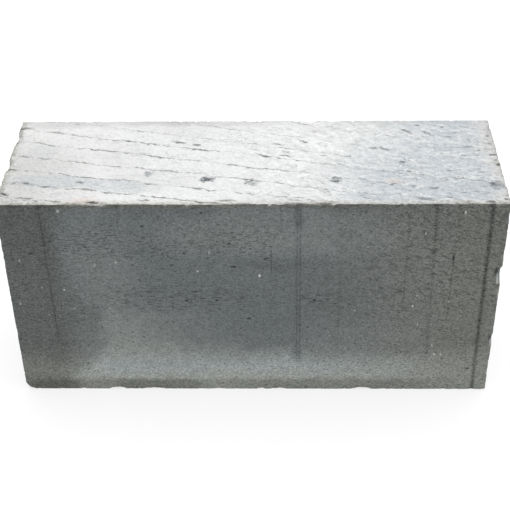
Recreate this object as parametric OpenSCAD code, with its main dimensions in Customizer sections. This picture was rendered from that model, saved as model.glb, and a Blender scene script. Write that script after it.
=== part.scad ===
// Solid aerated concrete block, wire-cut, standing on its bed as it is laid in a wall.
// X runs along the length, Y through the thickness (the front face looks to -Y), and Z up
// from the centre of the bottom bed.

/* [Block] */
// Length of the block along the wall
block_length = 440; // [250:1:650]
// Height of the block: one course less its mortar joint
block_height = 215; // [160:1:300]
// Thickness of the block through the wall
block_thickness = 140; // [75:1:300]
// Setback of the worn arris on each of its two faces
arris_setback = 1; // [0.3:0.1:3]

/* [Torn top bed] */
// Distance between the tear lines, measured square to them
tear_pitch = 21; // [14:0.5:40]
// Drop of the surface in front of each tear line
tear_drop = 1.2; // [0.4:0.1:3]
// Width of the flat crest behind each tear line
crest_width = 8; // [2:0.5:12]
// Run of the steep riser at each tear line
riser_run = 0.5; // [0.2:0.1:1.5]
// Angle between the tear lines and the length of the block
tear_skew = 12; // [0:1:25]
// Distance of the first tear line behind the centre of the bed
tear_offset = 8; // [0:0.5:20]
// Depth of the chip where every second tear line runs out over the left arris
runout_depth = 2.4; // [0.5:0.1:4]
// Length of that chip along the left arris
runout_length = 20; // [8:0.5:26]

/* [Score lines on the front face] */
// Distance of the left score line from the left end
left_score_inset = 37.5; // [15:0.5:90]
// Distance of the middle score line from the centre, to the right
middle_score_offset = 40; // [-50:0.5:50]
// Distance of the right score line from the right end
right_score_inset = 61; // [30:0.5:75]
// Distance of the deep score line from the right end
deep_score_inset = 13; // [6:0.5:25]
// Width of the three fine score lines at their mouths
fine_score_width = 1.2; // [0.5:0.1:3]
// Width of the deep score line at its mouth
deep_score_width = 2.4; // [1:0.1:5]

/* [Damage] */
// Reach of the broken lower left corner along the length
corner_break_length = 9; // [3:0.5:20]
// Reach of the broken corner through the thickness
corner_break_thickness = 12; // [3:0.5:20]
// Reach of the broken corner up the block
corner_break_height = 8; // [3:0.5:20]
// Distance of the upper chip in the right front arris below the top
upper_chip_drop = 76; // [20:1:78]
// Length of the upper chip along the arris
upper_chip_length = 16; // [8:0.5:30]
// Depth of the upper chip, square to the arris
upper_chip_depth = 2.6; // [1:0.1:4]
// Distance of the lower chip in the right front arris above the bottom
lower_chip_rise = 65; // [20:1:78]
// Length of the lower chip along the arris
lower_chip_length = 12; // [6:0.5:30]
// Depth of the lower chip, square to the arris
lower_chip_depth = 1.8; // [0.8:0.1:3]

/* [Hidden] */
concrete_grey = [0.50, 0.52, 0.51];
curve_sides = 48;
// Overrun of every cutter past the face that it starts from
overrun = 5;
// The tear lines that reach the bed are counted across it, square to their run
bed_half_span = (block_length * sin(tear_skew) + block_thickness * cos(tear_skew)) / 2;
bed_diagonal = norm([block_length, block_thickness]);
first_tear = -ceil((bed_half_span + tear_offset) / tear_pitch);
last_tear = ceil(bed_half_span / tear_pitch);
left_end = -block_length / 2;
right_end = block_length / 2;
front_face = -block_thickness / 2;

// Place of a tear line across the bed
function tear_place(index) = tear_offset + index * tear_pitch;

// Place through the thickness where a tear line meets the left end
function runout_place(index) =
    (tear_place(index) - left_end * sin(tear_skew)) / cos(tear_skew);

// Radius of a ball that takes a chip of this length and depth out of an arris
function chip_radius(length, depth) = (length * length / 4 + depth * depth) / (2 * depth);

// Rectangle with its four corners worn off
module worn_outline(width, depth) {
    x = width / 2;
    y = depth / 2;
    s = arris_setback;
    polygon([
        [x - s, -y], [x, -y + s], [x, y - s], [x - s, y],
        [-x + s, y], [-x, y - s], [-x, -y + s], [-x + s, -y]
    ]);
}

// The cuboid that the wires cut, with every arris worn
module cut_cuboid() {
    translate([0, 0, block_height / 2])
        intersection() {
            linear_extrude(block_height, center = true)
                worn_outline(block_length, block_thickness);
            rotate([90, 0, 0])
                linear_extrude(block_thickness, center = true)
                    worn_outline(block_length, block_height);
            rotate([90, 0, 90])
                linear_extrude(block_length, center = true)
                    worn_outline(block_thickness, block_height);
        }
}

// What the wire tore off the top bed: behind each tear line a flat crest at full height,
// then a slope that falls to the foot of the next riser
module torn_waste() {
    back = tear_place(last_tear) + tear_pitch;
    surface = [
        for (i = [first_tear : last_tear])
            each [
                [tear_place(i), -tear_drop],
                [tear_place(i) + riser_run, 0],
                [tear_place(i) + riser_run + crest_width, 0]
            ]
    ];
    translate([0, 0, block_height])
        rotate([0, 0, -tear_skew])
            rotate([90, 0, 90])
                linear_extrude(bed_diagonal + 2 * overrun, center = true)
                    polygon(concat(
                        surface,
                        [[back, -tear_drop], [back, overrun], [tear_place(first_tear), overrun]]
                    ));
}

// Ball-shaped chip out of an arris at this point, which the outward direction leads away from
module arris_chip(point, outward, length, depth) {
    radius = chip_radius(length, depth);
    translate(point + outward / norm(outward) * (radius - depth))
        sphere(r = radius, $fn = curve_sides);
}

// Chips along the left arris, one where every second tear line runs out there. They come
// mostly out of the end, so the arris looks scalloped from above.
module runout_chips() {
    reach = block_thickness / 2 - runout_length / 2;
    for (i = [first_tear : last_tear])
        if (i % 2 != 0 && abs(runout_place(i)) < reach)
            arris_chip([left_end, runout_place(i), block_height], [-4, 0, 1],
                       runout_length, runout_depth);
}

// Chips along the right front arris
module side_chips() {
    arris_chip([right_end, front_face, block_height - upper_chip_drop], [1, -1, 0],
               upper_chip_length, upper_chip_depth);
    arris_chip([right_end, front_face, lower_chip_rise], [1, -1, 0],
               lower_chip_length, lower_chip_depth);
}

// Upright groove of 90 degrees that a knot in the wire dragged down the front face
module score_line(place, width) {
    translate([place, front_face, -overrun])
        linear_extrude(block_height + 2 * overrun)
            rotate(45)
                square(width / sqrt(2), center = true);
}

// All the score lines of the front face
module score_lines() {
    score_line(left_end + left_score_inset, fine_score_width);
    score_line(middle_score_offset, fine_score_width);
    score_line(right_end - right_score_inset, fine_score_width);
    score_line(right_end - deep_score_inset, deep_score_width);
}

// The flat break across the lower left corner of the front face
module corner_break() {
    across = [-1 / corner_break_length, -1 / corner_break_thickness, -1 / corner_break_height];
    size = 3 * max(corner_break_length, corner_break_thickness, corner_break_height);
    translate([left_end + corner_break_length, front_face, 0])
        rotate([0, acos(across.z / norm(across)), atan2(across.y, across.x)])
            translate([-size, -size, 0])
                cube([2 * size, 2 * size, size]);
}

// The whole block, one casting
module block() {
    color(concrete_grey)
        difference() {
            cut_cuboid();
            torn_waste();
            runout_chips();
            score_lines();
            side_chips();
            corner_break();
        }
}

block();
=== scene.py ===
"""Wire-cut aerated concrete block on a pale floor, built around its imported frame."""
import itertools
import logging
import math
from dataclasses import dataclass, field
from enum import Enum

import bmesh
import bpy
import numpy as np
from mathutils import Matrix, Vector


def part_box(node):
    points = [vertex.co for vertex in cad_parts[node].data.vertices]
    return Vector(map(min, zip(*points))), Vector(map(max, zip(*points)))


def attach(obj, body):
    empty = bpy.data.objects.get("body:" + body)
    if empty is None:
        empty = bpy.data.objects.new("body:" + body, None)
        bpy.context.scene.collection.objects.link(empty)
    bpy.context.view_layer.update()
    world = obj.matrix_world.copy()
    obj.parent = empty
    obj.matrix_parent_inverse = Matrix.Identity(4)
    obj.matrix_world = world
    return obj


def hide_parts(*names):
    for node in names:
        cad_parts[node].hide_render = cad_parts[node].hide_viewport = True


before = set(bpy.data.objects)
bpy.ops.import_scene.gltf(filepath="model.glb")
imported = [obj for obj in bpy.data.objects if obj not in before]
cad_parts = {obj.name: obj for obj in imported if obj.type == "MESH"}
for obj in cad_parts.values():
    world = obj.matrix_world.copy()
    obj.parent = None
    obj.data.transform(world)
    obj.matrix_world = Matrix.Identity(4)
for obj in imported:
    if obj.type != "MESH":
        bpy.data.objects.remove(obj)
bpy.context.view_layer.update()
NODE = "block"
BODY = "root"
MM = 0.001
WHITE = (1.0, 1.0, 1.0, 1.0)
LOG = logging.getLogger(NODE)

Array = np.ndarray
Colour = tuple[float, float, float]
Point = tuple[float, float, float]


def ramp(low: float, high: float, value: Array) -> Array:
    """Rise smoothly from 0 at low to 1 at high.

    Args:
        low: Value at which the ramp is 0. It may be above high.
        high: Value at which the ramp is 1.
        value: Values to look up.

    Returns:
        The ramp at each value.
    """
    share = np.clip((value - low) / (high - low), 0.0, 1.0)
    return share * share * (3.0 - 2.0 * share)


def read_points(mesh: bpy.types.Mesh) -> Array:
    """Read where a mesh's vertices are.

    Args:
        mesh: The mesh.

    Returns:
        The places, one row a vertex.
    """
    points = np.empty(len(mesh.vertices) * 3)
    mesh.vertices.foreach_get("co", points)
    return points.reshape(-1, 3)


def write_points(mesh: bpy.types.Mesh, points: Array) -> None:
    """Move a mesh's vertices to these places, one row a vertex."""
    mesh.vertices.foreach_set("co", points.ravel())
    mesh.update()


class Grain:
    """Seeded gradient noise on arrays of points, about -1 to 1."""

    CELLS = 64
    SPREAD = 1.6

    def __init__(self, seed: int) -> None:
        """Draw the lattice of directions.

        Args:
            seed: Number that the whole lattice follows from.
        """
        drawn = np.random.default_rng(seed).normal(size=(self.CELLS, self.CELLS, self.CELLS, 3))
        self._directions = drawn / np.linalg.norm(drawn, axis=-1, keepdims=True)

    def at(self, x: Array, y: Array | float, z: Array | float = 0.5) -> Array:
        """Look the noise up.

        Args:
            x: First coordinate, in cells.
            y: Second coordinate, in cells.
            z: Third coordinate, in cells.

        Returns:
            The noise at each point.
        """
        point = np.stack(np.broadcast_arrays(x, y, z), axis=-1).astype(float)
        cell = np.floor(point).astype(int)
        part = point - cell
        fade = part**3 * (part * (part * 6.0 - 15.0) + 10.0)
        total = np.zeros(point.shape[:-1])
        for corner in itertools.product((0, 1), repeat=3):
            index = (cell + corner) % self.CELLS
            direction = self._directions[index[..., 0], index[..., 1], index[..., 2]]
            lean = np.sum(direction * (part - corner), axis=-1)
            weight = np.prod(np.where(np.array(corner) == 1, fade, 1.0 - fade), axis=-1)
            total += lean * weight
        return total * self.SPREAD


class Side(Enum):
    """A face of the block: the axis that it is square to, and the way it looks."""

    LEFT = (0, -1)
    RIGHT = (0, 1)
    FRONT = (1, -1)
    BACK = (1, 1)
    BOTTOM = (2, -1)
    TOP = (2, 1)

    @property
    def axis(self) -> int:
        """Index of the axis that the face is square to."""
        return self.value[0]

    @property
    def outward(self) -> int:
        """Sign of the face's outward direction."""
        return self.value[1]

    @property
    def spans(self) -> tuple[int, int]:
        """Indices of the two axes that lie in the face."""
        first, second = (axis for axis in range(3) if axis != self.axis)
        return first, second


@dataclass(frozen=True)
class TearLine:
    """One tear across the top bed, in millimetres.

    Attributes:
        left: Place through the thickness at the left end.
        right: Place through the thickness at the right end.
        drop: Mean height of its riser.
    """

    left: float
    right: float
    drop: float


@dataclass(frozen=True)
class Scale:
    """A small torn scale on the top bed, in millimetres.

    Attributes:
        x: Middle of its lip along the length.
        y: Middle of its lip through the thickness.
        length: Length of the lip.
        run: How far the hollow in front of the lip reaches.
        depth: Height of the lip.
        turn: Angle of the lip to the length, in degrees.
        bow: How far the lip's middle stands ahead of its ends.
    """

    x: float
    y: float
    length: float
    run: float
    depth: float
    turn: float
    bow: float

    def hollow(self, x: Array, y: Array) -> Array:
        """Depth of the hollow in front of the lip.

        Args:
            x: Places along the length.
            y: Places through the thickness.

        Returns:
            The depth at each point.
        """
        turn = math.radians(self.turn)
        along = ((x - self.x) * math.cos(turn) + (y - self.y) * math.sin(turn)) * 2.0 / self.length
        ahead = (x - self.x) * math.sin(turn) - (y - self.y) * math.cos(turn)
        ahead = ahead - self.bow * (1.0 - along**2)
        inside = (np.abs(along) < 1.0) & (ahead > 0.0) & (ahead < self.run)
        return np.where(inside, self.depth * (1.0 - along**2) * (1.0 - ahead / self.run), 0.0)


@dataclass(frozen=True)
class Pit:
    """A hollow in the top bed, in millimetres.

    Attributes:
        x: Place along the length.
        y: Place through the thickness.
        length: Size along the length.
        width: Size through the thickness.
        depth: Depth of its floor.
        stain: Share by which it is stained.
    """

    x: float
    y: float
    length: float
    width: float
    depth: float
    stain: float


@dataclass(frozen=True)
class TornBed:
    """The top bed, torn by the cutting wire into low steps that face the front.

    Attributes:
        half_length: Half of the block's length.
        half_thickness: Half of the block's thickness.
        grain: Noise that the tears wander by.
        tears: The tear lines, from front to back, from rows in the order of TearLine's fields.
        pits: Hollows in the bed.
        scale_count: How many small scales lie between the tears.
        scale_seed: Number that their places follow from.
        crest_share: Share of each strip that is flat behind its tear.
        headroom: Mean depth of the flat crests below the block's top.
        slope_power: How sharply a strip falls towards the next tear.
        foot_width: Width of the shade at the foot of a riser.
        lip_width: Width of the shade on its lip.
        lane: Distance in the noise from one tear to the next.
        guard: Place of the guard rows, far outside the bed.
        widest: Half width of a strip that has a tear at both sides, at most.
        gather_power: How strongly the grid is drawn to the tears.
    """

    half_length: float
    half_thickness: float
    grain: Grain
    tears: tuple[TearLine, ...] = tuple(
        TearLine(*row)
        for row in (
            (-56, -130, 0.7), (-35, -110, 0.9), (-13, -93, 0.9), (11, -76, 0.8), (35, -57, 0.9),
            (58, -39, 1.0), (79, -23, 0.55), (108, -6, 0.55), (140, 16, 0.5), (174, 38, 0.4),
            (208, 60, 0.4),
        )
    )
    pits: tuple[Pit, ...] = (
        Pit(x=-92, y=-21, length=9, width=9, depth=0.4, stain=0.7),
        Pit(x=-39, y=-30, length=15, width=10, depth=0.6, stain=1.0),
        Pit(x=-1, y=-36, length=12, width=10, depth=0.5, stain=0.8),
        Pit(x=73, y=-33, length=11, width=8, depth=0.5, stain=1.0),
        Pit(x=212, y=-41, length=15, width=15, depth=0.6, stain=0.65),
    )
    scale_count: int = 420
    scale_seed: int = 11
    crest_share: float = 0.4
    headroom: float = 0.3
    slope_power: float = 1.4
    foot_width: float = 1.15
    lip_width: float = 0.45
    lane: float = 7.3
    guard: float = 400.0
    widest: float = 30.0
    gather_power: float = 1.6

    def _places(self, x: Array) -> Array:
        """Find where the tears run.

        Args:
            x: Places along the length.

        Returns:
            Their places through the thickness, one row a tear, with a guard row at each side.
        """
        distinct, index = np.unique(x, return_inverse=True)
        share = (distinct + self.half_length) / (2.0 * self.half_length)
        unrest = 0.9 + 0.9 * ramp(20.0, 150.0, distinct)
        rows = []
        for number, tear in enumerate(self.tears):
            lane = self.lane * number + 0.4
            wander = (
                1.9 * self.grain.at(distinct / 62.0, lane)
                + 1.5 * self.grain.at(distinct / 17.0, lane, 11.5)
                + 1.5 * self.grain.at(distinct / 6.0, lane, 23.5)
                + 0.8 * self.grain.at(distinct / 2.4, lane, 25.5)
            )
            rows.append(tear.left + (tear.right - tear.left) * share + wander * unrest)
        rows = list(np.sort(np.array(rows), axis=0))
        guard = np.full_like(distinct, self.guard)
        return np.array([-guard, *rows, guard])[:, index]

    def _strip(self, x: Array, y: Array) -> tuple[Array, Array, Array]:
        """Find the tears in front of and behind each point.

        Args:
            x: Places along the length.
            y: Places through the thickness.

        Returns:
            The distance behind the tear in front, the distance in front of the tear behind,
            and the row of the tear behind.
        """
        places = self._places(x)
        behind = np.clip((places <= y).sum(axis=0), 1, len(places) - 1)
        column = np.arange(len(x))
        return y - places[behind - 1, column], places[behind, column] - y, behind

    def _drop(self, x: Array, row: Array) -> Array:
        """Height of the tears' risers.

        Args:
            x: Places along the length.
            row: Row of the tear that is meant at each of them.

        Returns:
            The height at each point.
        """
        mean = np.array([0.0, *(tear.drop for tear in self.tears), 0.0])[row]
        lane = self.lane * row + 2.9
        ragged = (
            0.46
            + 0.5 * self.grain.at(x / 37.0, lane, 37.5)
            + 0.7 * self.grain.at(x / 9.0, lane, 49.5)
            + 0.7 * self.grain.at(x / 3.6, lane, 53.5)
        )
        least = 0.18 - 0.18 * ramp(-60.0, 40.0, x)
        return mean * np.clip(ragged, least, 1.2) * (1.0 - 0.5 * ramp(-30.0, 90.0, x))

    def _scales(self) -> list[Scale]:
        """Scatter the small scales, more of them and steeper ones towards the right end.

        Returns:
            The scales.
        """
        draw = np.random.default_rng(self.scale_seed)
        scales = []
        for _ in range(self.scale_count):
            x = self.half_length * (1.0 - 2.0 * draw.random() ** 1.5)
            right = float(ramp(0.0, 140.0, np.array(x)))
            length = draw.uniform(6.0, 22.0) * (1.0 - 0.3 * right)
            scales.append(
                Scale(
                    x=x,
                    y=self.half_thickness * draw.uniform(-1.0, 1.0),
                    length=length,
                    run=draw.uniform(2.0, 5.0),
                    depth=draw.uniform(0.15, 0.5) + 0.25 * right,
                    turn=-12.0 - 9.0 * right + draw.normal(0.0, 6.0 + 4.0 * right),
                    bow=draw.uniform(-0.06, 0.12) * length,
                )
            )
        return scales

    def hollows(self, x: Array, y: Array) -> Array:
        """Depth of the pits.

        Args:
            x: Places along the length.
            y: Places through the thickness.

        Returns:
            The depth at each point.
        """
        depth = np.zeros_like(x)
        ragged = 0.8 * self.grain.at((x + y) / 7.0, (x - y) / 3.0, 17.5)
        for pit in self.pits:
            reach = np.hypot((x - pit.x) * 2.0 / pit.length, (y - pit.y) * 2.0 / pit.width)
            depth = np.maximum(depth, pit.depth * ramp(1.3, 0.3, reach + ragged))
        return depth

    def gather(self, x: Array, y: Array) -> Array:
        """Draw points together across the bed, towards the tear that is nearest.

        Args:
            x: Places along the length.
            y: Places through the thickness.

        Returns:
            The new places through the thickness.
        """
        ahead, left_over, _ = self._strip(x, y)
        half = (ahead + left_over) / 2.0
        near = np.minimum(ahead, left_over)
        drawn = half * (near / half) ** self.gather_power
        shift = np.where(ahead < left_over, drawn - near, near - drawn)
        inner = ramp(0.0, 6.0, self.half_thickness - np.abs(y))
        return y + shift * inner * (half < self.widest)

    def depth(self, x: Array, y: Array) -> Array:
        """Depth of the bed below its highest crests.

        Args:
            x: Places along the length.
            y: Places through the thickness.

        Returns:
            The depth at each point, 0 or more.
        """
        ahead, left_over, behind = self._strip(x, y)
        share = ahead / (ahead + left_over)
        slope = np.clip((share - self.crest_share) / (1.0 - self.crest_share), 0.0, 1.0)
        depth = self.headroom + self._drop(x, behind) * slope**self.slope_power + self.hollows(x, y)
        depth += 0.16 * self.grain.at(x / 8.0, y / 6.0, 29.5)
        depth += 0.14 * self.grain.at(x / 2.9, y / 2.0, 31.5)
        for scale in self._scales():
            depth += scale.hollow(x, y)
        return np.maximum(depth, 0.0)

    def crevice_shades(self, x: Array, y: Array) -> Array:
        """How deep in a tear each point lies: the share of painted shade that the finish puts at the
        foot and lip of a riser.

        Args:
            x: Places along the length.
            y: Places through the thickness.

        Returns:
            The share, from 0 on the open bed to 1 at a riser's foot.
        """
        ahead, left_over, behind = self._strip(x, y)
        foot = np.exp(-((left_over - 0.1) / self.foot_width) ** 2) * self._drop(x, behind)
        lip = np.exp(-((ahead / self.lip_width) ** 2)) * self._drop(x, behind - 1)
        return np.clip(np.maximum(foot, lip), 0.0, 1.0)

    def lee(self, x: Array, y: Array) -> Array:
        """How far each point lies from the tear in front of it, as a share of the way to the next."""
        ahead, left_over, _ = self._strip(x, y)
        return ahead / (ahead + left_over)


@dataclass(frozen=True)
class ScoreLine:
    """A groove that a knot in the wire dragged down a cut face, in millimetres.

    Attributes:
        foot: Place along the length at its lower end.
        head: Place along the length at its upper end.
        low: Height of its lower end.
        high: Height of its upper end.
        width: Width at the mouth.
        depth: Depth at the middle.
        stain: Share by which dust darkens the groove.
        spread: Half width of the dust beside it.
        smear: Strength of that dust, against the groove's own.
        broken: Whether the groove is broken up into rungs.
    """

    foot: float
    head: float
    low: float
    high: float
    width: float
    depth: float
    stain: float
    spread: float
    smear: float
    broken: bool = False

    def place(self, height: "Array | Value") -> "Array | Value":
        """Place along the length at a height."""
        return (height - self.low) * ((self.head - self.foot) / (self.high - self.low)) + self.foot


@dataclass(frozen=True)
class CutFace:
    """A face that the wire cut: nearly flat, with faint ripples and score lines.

    Attributes:
        grain: Noise of the ripples.
        layer: Layer of the noise that this face takes.
        scores: Its score lines.
        reach: How far from a score line points are drawn towards it.
        gather_power: How strongly they are drawn.
        fade: Half of the stretch in which a score line begins or ends.
    """

    grain: Grain
    layer: float
    scores: tuple[ScoreLine, ...] = ()
    reach: float = 5.0
    gather_power: float = 1.8
    fade: float = 6.0

    def gather(self, along: Array, up: Array) -> Array:
        """Draw points together along the face, towards the score lines.

        Args:
            along: Places along the face.
            up: Heights on the face.

        Returns:
            The new places along the face.
        """
        drawn = along.copy()
        for score in self.scores:
            offset = along - score.place(up)
            near = np.abs(offset) < self.reach
            share = np.abs(offset[near]) / self.reach
            moved = np.sign(offset[near]) * self.reach * share**self.gather_power
            drawn[near] += moved - offset[near]
        return drawn

    def depth(self, along: Array, up: Array) -> Array:
        """Depth of the face below its plane.

        Args:
            along: Places along the face.
            up: Heights on the face.

        Returns:
            The depth at each point, 0 or more.
        """
        ripples = (
            0.05 * self.grain.at(along / 40.0, up / 4.5, self.layer)
            + 0.05 * self.grain.at(along / 6.0, up / 5.0, self.layer + 2.0)
        )
        depth = np.maximum(0.08 + ripples, 0.0)
        for score in self.scores:
            ragged = 0.85 + 0.5 * self.grain.at(up / 4.0, score.foot, self.layer + 4.0)
            ends = ramp(score.low - self.fade, score.low + self.fade, up)
            ends = ends * ramp(score.high + self.fade, score.high - self.fade, up)
            offset = np.abs(along - score.place(up)) * 2.0 / score.width
            depth += score.depth * np.clip(1.0 - offset, 0.0, 1.0) * ends * ragged
        return depth


@dataclass(frozen=True)
class Chip:
    """A shell-shaped chip knocked out of an arris, in millimetres.

    Attributes:
        at: Middle of the chip on the sharp arris.
        outward: Direction away from the block there.
        length: Length along the arris.
        depth: Depth, square to the arris.
    """

    at: Point
    outward: Point
    length: float
    depth: float

    def carve(self, points: Array, rough: Array) -> Array:
        """Push points that lie inside the chip's ball out to its surface.

        Args:
            points: Places of the points.
            rough: How far the surface strays from the ball at each point.

        Returns:
            The new places.
        """
        radius = (self.length**2 / 4.0 + self.depth**2) / (2.0 * self.depth)
        outward = np.array(self.outward) / np.linalg.norm(self.outward)
        away = points - (np.array(self.at) + outward * (radius - self.depth))
        distance = np.linalg.norm(away, axis=1)
        reach = radius + rough * min(1.0, self.depth / 2.0)
        stretch = np.where(distance < reach, reach / np.maximum(distance, MM), 1.0)
        return points + away * (stretch - 1.0)[:, None]


@dataclass(frozen=True)
class BrokenCorner:
    """A corner knocked off along a rough plane, in millimetres.

    Attributes:
        corner: The sharp corner.
        reach: How far the break reaches from it along each axis, signed into the block.
    """

    corner: Point
    reach: Point

    def carve(self, points: Array, rough: Array) -> Array:
        """Push points that lie beyond the break back to it.

        Args:
            points: Places of the points.
            rough: How far the break strays from its plane at each point.

        Returns:
            The new places.
        """
        normal = 1.0 / np.array(self.reach)
        size = np.linalg.norm(normal)
        beyond = (1.0 - (points - np.array(self.corner)) @ normal) / size + rough
        return points + np.maximum(beyond, 0.0)[:, None] * (normal / size)


@dataclass
class ConcreteBlock:
    """The whole block: one casting, cut by wires.

    Attributes:
        low: Lowest corner of the block, in millimetres.
        high: Highest corner of the block, in millimetres.
        grain: Noise that the relief follows.
        spacing: Spacing of the first grid over the faces.
        arris: Radius of the worn arrises.
        crumb: Depth of the crumbs along the arrises.
        crumb_size: Size of the noise that they follow.
        crumb_reach: How far from an arris they reach.
        rough_size: Size of the grain of broken faces.
        arris_reach: How far from an arris the grid is drawn towards it.
        gather_power: How strongly it is drawn.
        bed_reach: How far below the top the torn bed's marks reach.
        crease: Least angle of a crease that stays sharp, in degrees.
        budget: Most triangles that the finished mesh may have.
        scores: Score lines of the front face, from rows in the order of ScoreLine's fields.
        bed: The torn top bed.
        faces: The faces that the wire cut.
    """

    low: Array
    high: Array
    grain: Grain
    spacing: float = 1.4
    arris: float = 0.9
    crumb: float = 0.9
    crumb_size: float = 7.0
    crumb_reach: float = 4.0
    rough_size: float = 3.2
    arris_reach: float = 10.0
    gather_power: float = 1.5
    bed_reach: float = 6.0
    crease: float = 38.0
    budget: int = 190_000
    scores: tuple[ScoreLine, ...] = tuple(
        ScoreLine(*row)
        for row in (
            (-182, -182.5, 60, 218, 1.3, 0.3, 0.27, 4, 0.3),
            (-115.5, -115.5, 188, 218, 1.1, 0.2, 0.2, 1.5, 0.2),
            (-39, -39, 140, 168, 0.9, 0.1, 0.1, 1.5, 0.2),
            (16.3, 16.3, 142, 166, 1.1, 0.35, 0.34, 1.6, 0.3),
            (25, 25, 195, 218, 1.1, 0.2, 0.24, 1.5, 0.2),
            (39.6, 39, 38, 218, 1, 0.2, 0.2, 4.5, 0.55),
            (42.4, 41.8, 38, 218, 1.1, 0.25, 0.24, 1.5, 0.2),
            (77.5, 77.5, 45, 150, 0.9, 0.08, 0.08, 2.5, 0.8),
            (135, 135, 105, 212, 1, 0.12, 0.18, 1.8, 0.3),
            (161, 157.5, 40, 218, 1.8, 0.1, 0.1, 4, 0.7),
            (158.2, 157.5, 160, 218, 3.2, 0.15, 0.21, 3, 0.1, True),
            (176, 176, 85, 165, 1, 0.2, 0.24, 1.8, 0.3),
            (207, 205, -10, 225, 2.8, 0.5, 0.32, 4.2, 0.7),
        )
    )
    bed: TornBed = field(init=False)
    faces: dict[Side, CutFace] = field(init=False)

    def __post_init__(self) -> None:
        """Give every face its relief."""
        self.bed = TornBed(half_length=self.high[0], half_thickness=self.high[1], grain=self.grain)
        self.faces = {Side.FRONT: CutFace(self.grain, layer=2.5, scores=self.scores)}
        for number, side in enumerate((Side.BACK, Side.LEFT, Side.RIGHT, Side.BOTTOM)):
            self.faces[side] = CutFace(self.grain, layer=12.5 + 10.0 * number)

    def _chips(self) -> list[Chip | BrokenCorner]:
        """The damage that shows, arris by arris.

        Returns:
            The broken corner and the chips. A chip's row holds its place along the arris, its
            length and its depth.
        """
        left, front, bottom = self.low
        right, back, top = self.high
        chips: list[Chip | BrokenCorner] = [
            BrokenCorner((left, front, bottom), reach) for reach in ((5.0, 12.0, 9.0), (10.0, 12.0, 4.5))
        ]
        left_top = ((39, 22, 2.5), (-8, 20, 2.8), (-52, 20, 2.4), (64, 9, 0.8))
        right_front = ((138, 21, 4.6), (64, 12, 2.4), (200, 9, 1.6))
        right_top = ((2, 8, 0.8), (-14, 9, 0.9), (-40, 12, 1.2), (-58, 8, 1.0))
        front_bottom = (
            (-132, 19, 2.5), (-97, 27, 1.7), (-35, 13, 1.2), (6, 10, 1.6), (24, 15, 1.6), (102, 22, 2.4)
        )
        front_top = ((-137, 16, 1.5), (58, 13, 1.1))
        back_top = ((53, 15, 2.1), (-4, 9, 1.0), (144, 10, 1.1), (-118, 12, 0.9))
        for corner, axis, outward, rows in (
            ((left, back, top), 1, (-4, 0, 1), left_top),
            ((right, front, top), 2, (2, -1, 0), right_front),
            ((right, front, top), 1, (2, 0, 1), right_top),
            ((left, front, bottom), 0, (0, -1, -1), front_bottom),
            ((left, front, top), 0, (0, -1, 1), front_top),
            ((left, back, top), 0, (0, 1, 1), back_top),
        ):
            for place, length, depth in rows:
                at = (*corner[:axis], place, *corner[axis + 1:])
                chips.append(Chip(at, outward, length, depth))
        return chips

    def _grid(self) -> bmesh.types.BMesh:
        """Cut a box into an even grid of quads, with a finer one over the top bed.

        Returns:
            The gridded box, in millimetres.
        """
        grid = bmesh.new()
        bmesh.ops.create_cube(grid, size=1.0)
        size = self.high - self.low
        bmesh.ops.scale(grid, vec=Vector(size), verts=grid.verts)
        bmesh.ops.translate(grid, vec=Vector((self.low + self.high) / 2.0), verts=grid.verts)
        for axis in range(3):
            along = [
                edge for edge in grid.edges
                if abs(edge.verts[0].co[axis] - edge.verts[1].co[axis]) > size[axis] / 2.0
            ]
            cuts = round(size[axis] / self.spacing) - 1
            bmesh.ops.subdivide_edges(grid, edges=along, cuts=cuts, use_grid_fill=True)
        level = self.high[2] - self.spacing / 2.0
        upper = [
            edge for edge in grid.edges
            if edge.verts[0].co.z > level and edge.verts[1].co.z > level
        ]
        bmesh.ops.subdivide_edges(grid, edges=upper, cuts=1, use_grid_fill=True)
        bmesh.ops.triangulate(grid, faces=grid.faces)
        return grid

    def _gather_to_arrises(self, points: Array) -> Array:
        """Draw the grid together along every arris.

        Args:
            points: Places on the sharp box.

        Returns:
            The new places on it.
        """
        middle = (self.low + self.high) / 2.0
        half = (self.high - self.low) / 2.0
        inset = half - np.abs(points - middle)
        share = np.clip(inset / self.arris_reach, 0.0, 1.0)
        drawn = np.where(inset < self.arris_reach, self.arris_reach * share**self.gather_power, inset)
        return middle + np.sign(points - middle) * (half - drawn)

    def _wear_arrises(self, points: Array) -> Array:
        """Round the arrises, and let crumbs fall out of them.

        Args:
            points: Places on the sharp box.

        Returns:
            The places on the worn block.
        """
        core = np.clip(points, self.low + self.arris, self.high - self.arris)
        away = points - core
        distance = np.maximum(np.linalg.norm(away, axis=1, keepdims=True), MM)
        worn = core + away / distance * self.arris
        inset = np.minimum(points - self.low, self.high - points)
        to_arris = np.sort(inset, axis=1)[:, 1]
        cell = points / self.crumb_size
        crumbs = self.grain.at(*cell.T) + 0.7 * self.grain.at(*(cell.T * 2.6 + 0.3))
        torn = 1.0 + 0.9 * ramp(self.high[2] - 5.0, self.high[2], points[:, 2])
        near = ramp(self.crumb_reach, 0.0, to_arris)
        fallen = self.crumb * np.clip(crumbs - 0.05, 0.0, 1.2) * near * torn
        outward = points - np.clip(points, self.low + 6.0, self.high - 6.0)
        outward /= np.maximum(np.linalg.norm(outward, axis=1, keepdims=True), MM)
        return worn - outward * fallen[:, None]

    def _plane(self, side: Side) -> float:
        """Place of a face on the axis that it is square to."""
        corner = self.high if side.outward > 0 else self.low
        return corner[side.axis]

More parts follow.
